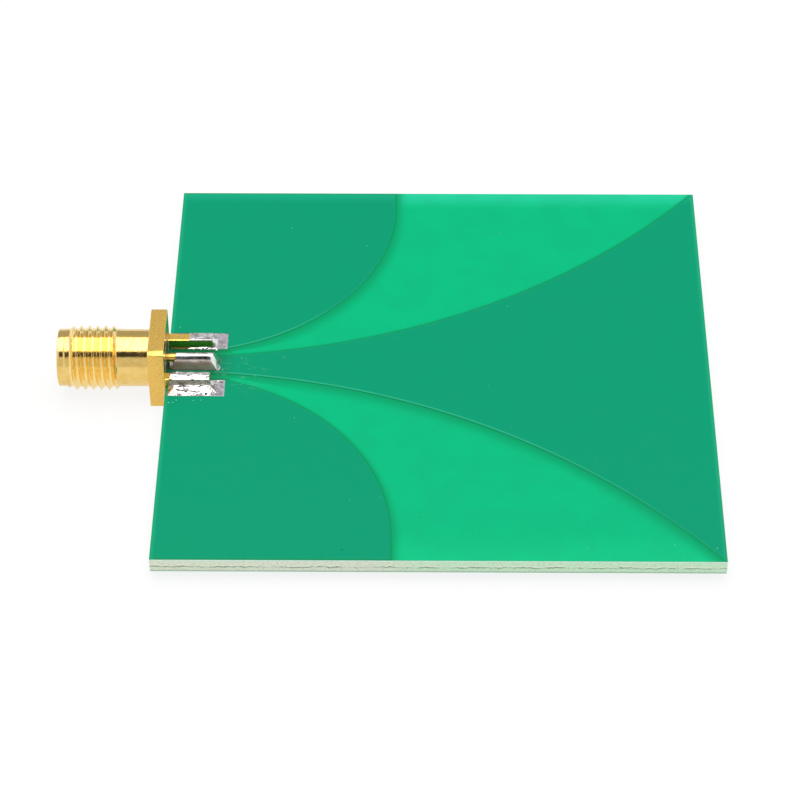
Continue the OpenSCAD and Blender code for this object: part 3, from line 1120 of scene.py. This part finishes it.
@dataclass
class Jack:
    """The gold jack: a turned threaded body, a square flange and four legs."""

    thread_from: float = -1.45
    barrel_from: float = 3.95
    flange_t: float = 1.55
    mouth_r: float = 2.3
    bore_r: float = 2.05
    nose_r: float = 2.75
    crest_r: float = 3.11
    root_r: float = 2.79
    barrel_r: float = 2.75
    pitch: float = 0.775
    thread_phase: float = 0.93
    root_flat: float = 0.16
    flank_bow: float = 1.3
    run_in: float = 1.15
    run_out: float = 0.42
    edge_round: float = 0.07
    corner_rounds: tuple[tuple[float, float], ...] = (
        (0.08, 0.08), (0.25, 0.75), (0.08, 0.08), (0.08, 0.08))
    corner_steps: int = 16
    leg_length: float = 4.2
    leg_inner: float = 2.3
    upper_leg_h: float = 1.05
    lower_leg_h: float = 0.9
    leg_chamfer: tuple[float, float] = (0.10, 0.05)
    sides: int = 144
    rows_per_turn: int = 30
    sharp_angle: float = 32.0
    flat_part: float = 0.9999
    weld: float = 0.002

    def __post_init__(self) -> None:
        """Read the jack's reach from the frame."""
        low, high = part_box("jack_body")
        self.nose_from = low.x / MM
        self.half = high.y / MM
        self.flange_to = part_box("laminate")[0].x / MM
        self.flange_from = self.flange_to - self.flange_t
        self.upper_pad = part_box("pad_tin_far")[1].z / MM
        self.lower_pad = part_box("lower_tin_far")[0].z / MM
        self.leg_top = self.upper_pad + self.upper_leg_h
        self.leg_bottom = self.lower_pad - self.lower_leg_h

    def build(self) -> None:
        """Build and dress the jack."""
        put_piece("jack_shell", self.shell(), GOLD, ["jack_body"])
        dress("insulator", INSULATOR)
        dress("center_contact", GOLD)

    def ring(self, x: float, radius: float) -> np.ndarray:
        """Give one round ring of the turned body.

        Args:
            x: Station on the axis.
            radius: Radius of the ring.

        Returns:
            Points of the ring.
        """
        turns = np.arange(self.sides) * TURN / self.sides
        return np.column_stack([np.full(self.sides, x), radius * np.cos(turns), radius * np.sin(turns)])

    def square(self, x: float, half: float) -> np.ndarray:
        """Give one square ring of the flange.

        Args:
            x: Station on the axis.
            half: Half the flange's width.

        Returns:
            Points of the ring.
        """
        side_steps = self.sides // 4 - self.corner_steps
        bend = np.arange(self.corner_steps) * math.pi / 2 / self.corner_steps
        points = []
        for turn, (depth, reach) in enumerate(self.corner_rounds):
            across = np.linspace(self.corner_rounds[turn - 1][0] - half, half - reach, side_steps + 1)[:-1]
            side = np.column_stack([np.full(side_steps, half), across])
            out = half - depth * (1.0 - np.cos(bend))
            along = half - reach * (1.0 - np.sin(bend))
            corner = np.column_stack([out, along])
            edge = np.vstack([side, corner])
            angle = turn * math.pi / 2
            spin = np.array([[math.cos(angle), math.sin(angle)], [-math.sin(angle), math.cos(angle)]])
            points.append(edge @ spin)
        loop = np.roll(np.vstack(points), -(side_steps // 2), axis=0)
        return np.column_stack([np.full(self.sides, x), loop])

    def thread(self) -> bpy.types.Mesh:
        """Cut the right-hand thread as a sleeve between nose and barrel.

        Returns:
            The open sleeve.
        """
        length = self.barrel_from - self.thread_from
        recipe = NodeRecipe("thread_sleeve", {
            "Start": self.thread_from * MM, "Length": length * MM, "Pitch": self.pitch * MM,
            "Crest Radius": self.crest_r * MM, "Root Radius": self.root_r * MM,
            "Nose Radius": self.nose_r * MM, "Barrel Radius": self.barrel_r * MM,
            "Run Out": self.run_out * MM, "Run In": self.run_in * MM,
            "Phase": self.thread_phase, "Root Flat": self.root_flat, "Flank Bow": self.flank_bow,
            "Rows": int(length / self.pitch * self.rows_per_turn), "Sides": self.sides + 1}, GOLD)
        graph, given = recipe.graph, recipe.given
        sheet = graph.add("GeometryNodeMeshGrid", {
            "Size X": 1.0, "Size Y": 1.0, "Vertices X": given["Rows"], "Vertices Y": given["Sides"]})
        flat = graph.add("GeometryNodeInputPosition").outputs[0]
        axes = graph.add("ShaderNodeSeparateXYZ", {0: flat}).outputs
        along = graph.math("ADD", axes[0], 0.5)
        around = graph.math("ADD", axes[1], 0.5)
        travel = graph.math("MULTIPLY", along, given["Length"])
        axial = graph.math("ADD", travel, given["Start"])
        turned = graph.math("SUBTRACT", graph.math("DIVIDE", axial, given["Pitch"]), around)
        phase = graph.math("ADD", turned, given["Phase"])
        off_crest = graph.math("ABSOLUTE", graph.math("SUBTRACT", phase, graph.math("ROUND", phase)))
        tooth = graph.math("MULTIPLY_ADD", off_crest, -2.0, 1.0)
        raised = graph.add("ShaderNodeMapRange", {"Value": tooth, "From Min": given["Root Flat"]})
        ridge = graph.math("POWER", raised.outputs["Result"], given["Flank Bow"])
        height = graph.math("SUBTRACT", given["Crest Radius"], given["Root Radius"])
        cut = graph.math("MULTIPLY_ADD", ridge, height, given["Root Radius"])
        to_end = graph.math("DIVIDE", graph.math("SUBTRACT", given["Length"], travel), given["Run Out"])
        share = graph.math("MINIMUM", graph.math("DIVIDE", travel, given["Run In"]), to_end)
        blend = graph.ramp(share, 0.0, 1.0)
        taper = graph.math("SUBTRACT", given["Barrel Radius"], given["Nose Radius"])
        plain = graph.math("MULTIPLY_ADD", along, taper, given["Nose Radius"])
        radius = graph.math("MULTIPLY_ADD", blend, graph.math("SUBTRACT", cut, plain), plain)
        angle = graph.math("MULTIPLY", around, TURN)
        place = graph.add("ShaderNodeCombineXYZ", {
            0: axial,
            1: graph.math("MULTIPLY", radius, graph.math("COSINE", angle)),
            2: graph.math("MULTIPLY", radius, graph.math("SINE", angle))})
        moved = graph.add("GeometryNodeSetPosition", {
            "Geometry": sheet.outputs["Mesh"], "Position": place.outputs[0]})
        closed = graph.add("GeometryNodeMergeByDistance", {"Geometry": moved.outputs[0], "Distance": 1e-6})
        return recipe.run(closed.outputs[0], bpy.data.meshes.new("thread_base"))

    def shell(self) -> bpy.types.Mesh:
        """Join the turned body, the thread, the flange and the legs.

        Returns:
            The closed shell with its legs.
        """
        e = self.edge_round
        before = [
            self.ring(0.0, self.bore_r),
            self.ring(0.0, self.mouth_r),
            self.ring(self.nose_from + e, self.mouth_r),
            self.ring(self.nose_from, self.mouth_r + e),
            self.ring(self.nose_from, self.nose_r - e),
            self.ring(self.nose_from + 0.3 * e, self.nose_r - 0.3 * e),
            self.ring(self.nose_from + e, self.nose_r),
            self.ring(self.thread_from, self.nose_r),
        ]
        after = [
            self.ring(self.barrel_from, self.barrel_r),
            self.ring(self.flange_from - e, self.barrel_r),
            self.ring(self.flange_from, self.barrel_r + e),
            self.square(self.flange_from, self.half - e),
            self.square(self.flange_from + 0.3 * e, self.half - 0.3 * e),
            self.square(self.flange_from + e, self.half),
            self.square(self.flange_to - 0.5 * e, self.half),
            self.square(self.flange_to, self.half - 0.5 * e),
            self.ring(self.flange_to, self.bore_r),
            self.ring(0.0, self.bore_r),
        ]
        verts = np.vstack(before + after)
        faces = []
        for k in range(len(before) + len(after) - 1):
            if k == len(before) - 1:
                continue
            for n in range(self.sides):
                low, high = k * self.sides, (k + 1) * self.sides
                following = (n + 1) % self.sides
                faces.append([low + n, low + following, high + following, high + n])
        shape = bmesh.new()
        shape.from_mesh(mesh_from("turned_body", verts, faces))
        shape.from_mesh(self.thread())
        bmesh.ops.remove_doubles(shape, verts=shape.verts, dist=self.weld * MM)
        bmesh.ops.recalc_face_normals(shape, faces=shape.faces)
        for side in Side:
            across = sorted((side.value * self.leg_inner, side.value * self.half))
            self.leg(shape, across, self.upper_pad, self.leg_top)
            self.leg(shape, across, self.lower_pad, self.leg_bottom)
        shape.normal_update()
        for face in shape.faces:
            face.smooth = max(abs(part) for part in face.normal) < self.flat_part
        for edge in shape.edges:
            rounded = all(face.smooth for face in edge.link_faces)
            edge.smooth = rounded and edge.calc_face_angle(0.0) < math.radians(self.sharp_angle)
        mesh = bpy.data.meshes.new("jack_shell")
        shape.to_mesh(mesh)
        shape.free()
        return mesh

    def leg(self, shape: bmesh.types.BMesh, across: Sequence[float], foot: float, face: float) -> None:
        """Add one milled leg with broken edges along its outer face.

        Args:
            shape: The mesh to add to.
            across: Lowest and highest Y in millimetres.
            foot: Height of the face on the pad.
            face: Height of the outer face.
        """
        low, high = across
        wide, deep = self.leg_chamfer
        shoulder = face - math.copysign(deep, face - foot)
        section = [(low, foot), (high, foot), (high, shoulder), (high - wide, face), (low + wide, face),
                   (low, shoulder)]
        ends = []
        for x in (self.flange_to, self.flange_to + self.leg_length):
            ends.append([shape.verts.new((x * MM, y * MM, z * MM)) for y, z in section])
        count = len(section)
        made = [shape.faces.new(ends[0]), shape.faces.new(ends[1])]
        for k in range(count):
            following = (k + 1) % count
            made.append(shape.faces.new((ends[0][k], ends[0][following], ends[1][following], ends[1][k])))
        bmesh.ops.recalc_face_normals(shape, faces=made)


@dataclass
class Joint:
    """One hand-soldered joint, built from hulls that are melted together."""

    name: str
    node: str
    hulls: list[list[Point]]
    floor_mm: float
    up: float = 1.0
    side: float = 1.0
    voxel: float = 0.045
    melt: int = 5
    ripple: float = 0.02
    wrinkle: float = 0.0
    ripple_per_mm: float = 1.6
    wrinkle_per_mm: float = 3.4
    steep: tuple[float, float] = (0.72, 0.42)
    sideways: tuple[float, float] = (0.62, 0.87)
    finish: Finish = SOLDER

    def build(self, left: float) -> None:
        """Build and dress the joint.

        Args:
            left: Station of the board's jack edge in millimetres.
        """
        put_piece(self.name, self.melted(left), self.finish, [self.node])

    def melted(self, left: float) -> bpy.types.Mesh:
        """Merge the hulls, round them off and ripple the surface.

        Args:
            left: Station of the board's jack edge in millimetres.

        Returns:
            The joint's closed mesh.
        """
        rough = bpy.data.meshes.new(self.name)
        shape = bmesh.new()
        for hull in self.hulls:
            verts = [shape.verts.new(point) for point in hull]
            made = bmesh.ops.convex_hull(shape, input=verts)
            spare = [item for item in made["geom_interior"] if isinstance(item, bmesh.types.BMVert)]
            bmesh.ops.delete(shape, geom=spare, context="VERTS")
        bmesh.ops.recalc_face_normals(shape, faces=shape.faces)
        shape.to_mesh(rough)
        shape.free()
        holder = bpy.data.objects.new(self.name, rough)
        bpy.context.scene.collection.objects.link(holder)
        modifier = holder.modifiers.new("melt", "REMESH")
        modifier.mode = "VOXEL"
        modifier.voxel_size = self.voxel
        mesh = bpy.data.meshes.new_from_object(holder.evaluated_get(bpy.context.evaluated_depsgraph_get()))
        bpy.data.objects.remove(holder)
        shape = bmesh.new()
        shape.from_mesh(mesh)
        for _ in range(self.melt):
            bmesh.ops.smooth_vert(shape, verts=shape.verts, factor=0.5, use_axis_x=True, use_axis_y=True,
                                  use_axis_z=True)
        shape.normal_update()
        for vert in shape.verts:
            swell = noise.noise(vert.co * self.ripple_per_mm) * self.ripple
            swell += noise.noise(vert.co * self.wrinkle_per_mm) * self.wrinkle
            vert.co += vert.normal * swell
        for vert in shape.verts:
            lift = max(vert.co.z, 0.0)
            place = Vector((vert.co.x + left, vert.co.y * self.side, self.floor_mm + self.up * lift))
            vert.co = place * MM
        if self.up * self.side < 0.0:
            bmesh.ops.reverse_faces(shape, faces=shape.faces)
        shape.normal_update()
        # steep marks steep faces turned along y, where the solder gets its flux crust and painted shade
        steep = []
        for vert in shape.verts:
            upright = np.interp(-abs(vert.normal.z), (-self.steep[0], -self.steep[1]), (0.0, 1.0))
            sideways = np.interp(abs(vert.normal.y), self.sideways, (0.0, 1.0))
            steep.append(upright * sideways)
        shape.to_mesh(mesh)
        shape.free()
        mesh.shade_smooth()
        layer = mesh.attributes.new(STEEP, "FLOAT", "POINT")
        layer.data.foreach_set("value", steep)
        return mesh


def box_hull(low: Point, high: Point) -> list[Point]:
    """Give the corners of a box.

    Args:
        low: Lowest corner.
        high: Highest corner.

    Returns:
        Its eight corners.
    """
    return [(x, y, z) for x in (low[0], high[0]) for y in (low[1], high[1]) for z in (low[2], high[2])]


@dataclass
class SolderWork:
    """The five joints that hold the jack to the board."""

    leg_inner: float = 2.3
    leg_outer: float = 3.3
    leg_end: float = 4.2
    leg_h: float = 1.05
    pad_outer: float = 4.45
    pin_h: float = 1.37
    feed_end: float = 5.12
    feed_lean: float = 0.52

    def __post_init__(self) -> None:
        """Read the pads' heights from the frame."""
        self.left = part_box("laminate")[0].x / MM
        self.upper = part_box("pad_tin_far")[1].z / MM
        self.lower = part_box("lower_tin_far")[0].z / MM

    def build(self) -> None:
        """Build and dress the joints."""
        for joint in (self.far(), self.near(), self.feed(), *self.lower_pair()):
            joint.build(self.left)

    def far(self) -> Joint:
        """Describe the far joint: half the leg tinned, small fillets.

        Returns:
            The joint.
        """
        i, o, end = self.leg_inner, self.leg_outer, self.leg_end
        hulls = [
            [(1.75, i - 0.14, 0.0), (4.7, i - 0.28, 0.0), (1.75, i + 0.1, 0.0), (4.7, i + 0.1, 0.0),
             (2.3, i + 0.08, 0.14), (end + 0.1, i + 0.08, 0.24)],
            [(end, i + 0.02, 0.98), (end, i + 0.2, 0.98), (end + 0.32, i - 0.02, 0.0),
             (end + 0.32, i + 0.2, 0.0), (end, i - 0.02, 0.0), (end, i + 0.2, 0.0)],
            [(end - 0.1, i + 0.1, 0.6), (end - 0.1, o, 0.6), (4.7, i, 0.0), (4.7, o + 0.3, 0.0),
             (end - 0.1, i - 0.02, 0.0), (end - 0.1, o + 0.3, 0.0)],
            [(0.5, o - 0.05, 0.0), (4.6, o - 0.05, 0.0), (0.5, o + 0.42, 0.0), (4.6, o + 0.45, 0.0),
             (0.8, o - 0.05, 0.5), (end, o - 0.05, 0.6)],
            box_hull((2.0, i - 0.02, 0.94), (end + 0.05, o + 0.03, self.leg_h + 0.05)),
        ]
        return Joint("joint_far", "solder_far", hulls, self.upper, voxel=0.035, melt=3,
                     ripple=0.012, wrinkle=0.012)

    def near(self) -> Joint:
        """Describe the near joint: the whole leg coated, a wide fillet and a raised corner.

        Returns:
            The joint.
        """
        i, o, end = self.leg_inner, self.leg_outer, self.leg_end
        crown = i + 0.5
        hulls = [
            box_hull((0.35, i - 0.05, 0.0), (end + 0.06, o + 0.06, self.leg_h - 0.04)),
            [(0.4, i - 0.03, 1.09), (end, i - 0.03, 1.09), (0.4, o + 0.06, 1.08), (end, o + 0.06, 1.08),
             (0.45, crown, self.leg_h + 0.17), (2.1, crown, self.leg_h + 0.13),
             (end, crown, self.leg_h + 0.19)],
            [(0.3, o - 0.1, 0.0), (4.6, o - 0.1, 0.0), (0.2, self.pad_outer - 0.05, 0.0),
             (4.5, self.pad_outer - 0.05, 0.0), (0.9, o - 0.1, 0.46), (end - 0.2, o - 0.1, 0.50),
             (1.1, o + 0.5, 0.30), (end - 0.4, o + 0.5, 0.32)],
            [(end - 0.2, i + 0.1, 0.35), (end - 0.2, o, 0.5), (4.8, i + 0.2, 0.0),
             (5.0, self.pad_outer - 0.2, 0.0), (end - 0.2, i, 0.0), (end - 0.2, o + 0.3, 0.0)],
            [(4.75, i - 0.02, 0.0), (5.5, i + 0.08, 0.0), (5.5, i + 0.3, 0.0), (4.75, i + 0.2, 0.0),
             (4.95, i + 0.1, 0.16), (5.4, i + 0.2, 0.22)],
        ]
        return Joint("joint_near", "solder_near", hulls, self.upper, side=Side.NEAR.value, voxel=0.04,
                     melt=3, ripple=0.06, wrinkle=0.05, finish=SOLDER_WRINKLED)

    def feed(self) -> Joint:
        """Describe the coat on the centre pin with its chisel end.

        Returns:
            The joint.
        """
        arch = ((0.80, 0.0), (0.72, 0.42), (0.64, 0.80), (0.58, 0.94), (0.51, 1.06), (0.22, 1.31),
                (0.0, self.pin_h))
        hull = []
        for half, height in arch:
            start = 0.5 + 0.25 * height
            stop = self.feed_end - self.feed_lean * height
            hull += [(start, -half, height), (start, half, height), (stop - 0.34, -half, height),
                     (stop, -0.25 * half, height), (stop - 0.05, half, height)]
        return Joint("joint_feed", "solder_feed", [hull], self.upper, voxel=0.035, melt=3, ripple=0.015)

    def lower_pair(self) -> list[Joint]:
        """Describe the two joints under the board.

        Returns:
            Both joints.
        """
        i, o, end = self.leg_inner, self.leg_outer, self.leg_end
        hulls = [
            [(0.4, o - 0.05, 0.0), (4.9, o - 0.05, 0.0), (0.4, o + 0.5, 0.0), (4.9, o + 0.5, 0.0),
             (0.7, o - 0.05, 0.5), (end, o - 0.05, 0.55)],
            [(end - 0.1, i, 0.62), (end - 0.1, o, 0.62), (5.05, i - 0.05, 0.0), (5.05, o + 0.4, 0.0),
             (end - 0.1, i - 0.05, 0.0), (end - 0.1, o + 0.4, 0.0)],
        ]
        joints = []
        for side in Side:
            word = side.name.lower()
            joints.append(Joint(f"joint_lower_{word}", f"lower_solder_{word}", hulls, self.lower, up=-1.0,
                                side=side.value, ripple=0.03, wrinkle=0.01))
        return joints


@dataclass(frozen=True)
class Card:
    """A grey card that only reflections show, placed by angles above the floor in front."""

    name: str
    angle: float
    half_angle: float
    width: float
    grey: float


@dataclass
class Studio:
    """White floor, one soft lamp, reflection cards and the camera."""

    azimuth: float = 0.72
    elevation: float = 43.03
    roll: float = -0.28
    distance: float = 0.2937
    aside: float = -0.00368
    above: float = -0.00332
    sensor: float = 36.0
    lens: float = 36.0 * 3059.0 / 800.0
    ambient: float = 0.55
    floor_size: float = 6.0
    floor_white: float = 0.96
    floor_glow: float = 0.86
    lamp_place: Point = (0.03, 0.10, 0.62)
    lamp_aim: Point = (0.03, 0.0, 0.0)
    lamp_size: float = 0.74
    lamp_power: float = 3.4
    cards: tuple[Card, ...] = (
        Card("dark_card", 55.0, 12.0, 0.7, 0.04),
        Card("front_card", 23.0, 19.0, 0.9, 0.78),
        Card("back_card", 157.0, 26.0, 0.9, 0.5),
    )
    card_x: float = 0.03
    card_distance: float = 0.8

    def build(self) -> None:
        """Set up view, world, floor, lamp, cards and camera."""
        scene = bpy.context.scene
        scene.view_settings.view_transform = "Standard"
        self.world(scene)
        self.floor()
        self.softbox("overhead_lamp")
        for card in self.cards:
            self.stand(card)
        self.camera(scene)

    @staticmethod
    def seen(graph: NodeGraph) -> bpy.types.NodeSocket:
        """Tell rays that show the background from rays that light the object.

        Args:
            graph: The nodes to add to.

        Returns:
            One for camera, glossy and transmission rays.
        """
        path = graph.add("ShaderNodeLightPath").outputs
        shiny = graph.math("MAXIMUM", path["Is Glossy Ray"], path["Is Transmission Ray"])
        return graph.math("MAXIMUM", path["Is Camera Ray"], shiny)

    def world(self, scene: bpy.types.Scene) -> None:
        """Make a white world that lights softly.

        Args:
            scene: The scene.
        """
        world = bpy.data.worlds.new("studio")
        world.use_nodes = True
        graph = NodeGraph(world.node_tree)
        strength = graph.ramp(self.seen(graph), 0.0, 1.0, self.ambient, 1.0)
        sky = graph.add("ShaderNodeBackground", {"Color": (1.0, 1.0, 1.0, 1.0), "Strength": strength})
        graph.add("ShaderNodeOutputWorld", {"Surface": sky.outputs[0]})
        scene.world = world

    def floor(self) -> None:
        """Lay the white floor that the part stands on, clear when seen from below."""
        half = self.floor_size / 2
        low = CAD_BOX[0][2]
        mesh = bpy.data.meshes.new("floor")
        corners = [(-half, -half, low), (half, -half, low), (half, half, low), (-half, half, low)]
        mesh.from_pydata(corners, [], [(0, 1, 2, 3)])
        material = bpy.data.materials.new("white_floor")
        material.use_nodes = True
        graph = NodeGraph(material.node_tree)
        matt = graph.add("ShaderNodeBsdfDiffuse", {"Color": (self.floor_white,) * 3 + (1.0,)})
        white = graph.add("ShaderNodeEmission", {"Color": (1.0, 1.0, 1.0, 1.0), "Strength": 1.0})
        share = graph.math("MULTIPLY", self.seen(graph), self.floor_glow)
        mixed = graph.add("ShaderNodeMixShader", {0: share, 1: matt.outputs[0], 2: white.outputs[0]})
        clear = graph.add("ShaderNodeBsdfTransparent")
        from_below = graph.add("ShaderNodeNewGeometry").outputs["Backfacing"]
        sided = graph.add("ShaderNodeMixShader", {0: from_below, 1: mixed.outputs[0], 2: clear.outputs[0]})
        graph.add("ShaderNodeOutputMaterial", {"Surface": sided.outputs[0]})
        mesh.materials.append(material)
        floor = bpy.data.objects.new("floor", mesh)
        bpy.context.scene.collection.objects.link(floor)

    def softbox(self, name: str) -> None:
        """Hang the square soft lamp.

        Args:
            name: The lamp's name.
        """
        lamp = bpy.data.lights.new(name, "AREA")
        lamp.shape = "SQUARE"
        lamp.size = self.lamp_size
        lamp.energy = self.lamp_power
        held = bpy.data.objects.new(name, lamp)
        held.location = self.lamp_place
        ray = Vector(self.lamp_aim) - Vector(self.lamp_place)
        held.rotation_euler = ray.to_track_quat("-Z", "Y").to_euler()
        bpy.context.scene.collection.objects.link(held)

    def stand(self, card: Card) -> None:
        """Stand one reflection card.

        Args:
            card: The card.
        """
        turn = math.radians(card.angle)
        away = Vector((0.0, -math.cos(turn), math.sin(turn)))
        middle = Vector((self.card_x, 0.0, 0.0)) + away * self.card_distance
        across = Vector((1.0, 0.0, 0.0)) * card.width / 2
        upright = Vector((0.0, math.sin(turn), math.cos(turn)))
        upright *= self.card_distance * math.tan(math.radians(card.half_angle))
        corners = [middle - across - upright, middle + across - upright, middle + across + upright,
                   middle - across + upright]
        mesh = bpy.data.meshes.new(card.name)
        mesh.from_pydata([tuple(corner) for corner in corners], [], [(0, 1, 2, 3)])
        material = bpy.data.materials.new(card.name)
        material.use_nodes = True
        graph = NodeGraph(material.node_tree)
        shade = (card.grey, card.grey, card.grey, 1.0)
        glow = graph.add("ShaderNodeEmission", {"Color": shade, "Strength": 1.0})
        graph.add("ShaderNodeOutputMaterial", {"Surface": glow.outputs[0]})
        mesh.materials.append(material)
        held = bpy.data.objects.new(card.name, mesh)
        bpy.context.scene.collection.objects.link(held)
        held.visible_camera = False
        held.visible_diffuse = False
        held.visible_shadow = False

    def camera(self, scene: bpy.types.Scene) -> None:
        """Set the camera where the photograph was taken from.

        Args:
            scene: The scene.
        """
        low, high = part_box("laminate")
        aim = Vector(((low.x + high.x) / 2, 0.0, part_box("pad_tin_far")[1].z))
        az, el, roll = (math.radians(angle) for angle in (self.azimuth, self.elevation, self.roll))
        right = Vector((math.cos(az), math.sin(az), 0.0))
        ahead = Vector((-math.sin(az) * math.cos(el), math.cos(az) * math.cos(el), -math.sin(el)))
        up = right.cross(ahead)
        place = aim - ahead * self.distance + right * self.aside + up * self.above
        across = right * math.cos(roll) + up * math.sin(roll)
        upright = up * math.cos(roll) - right * math.sin(roll)
        lens = bpy.data.cameras.new("photo_camera")
        lens.sensor_fit = "HORIZONTAL"
        lens.sensor_width = self.sensor
        lens.lens = self.lens
        lens.clip_start = 0.01
        lens.clip_end = 20.0
        camera = bpy.data.objects.new("photo_camera", lens)
        turned = Matrix((across, upright, -ahead)).transposed().to_4x4()
        camera.matrix_world = Matrix.Translation(place) @ turned
        scene.collection.objects.link(camera)
        scene.camera = camera


def main() -> None:
    """Build every sub-assembly and the studio."""
    logging.basicConfig(level=logging.INFO, format="%(name)s %(message)s")
    Studio().build()
    Board().build()
    Jack().build()
    SolderWork().build()


if __name__ == "__main__":
    main()
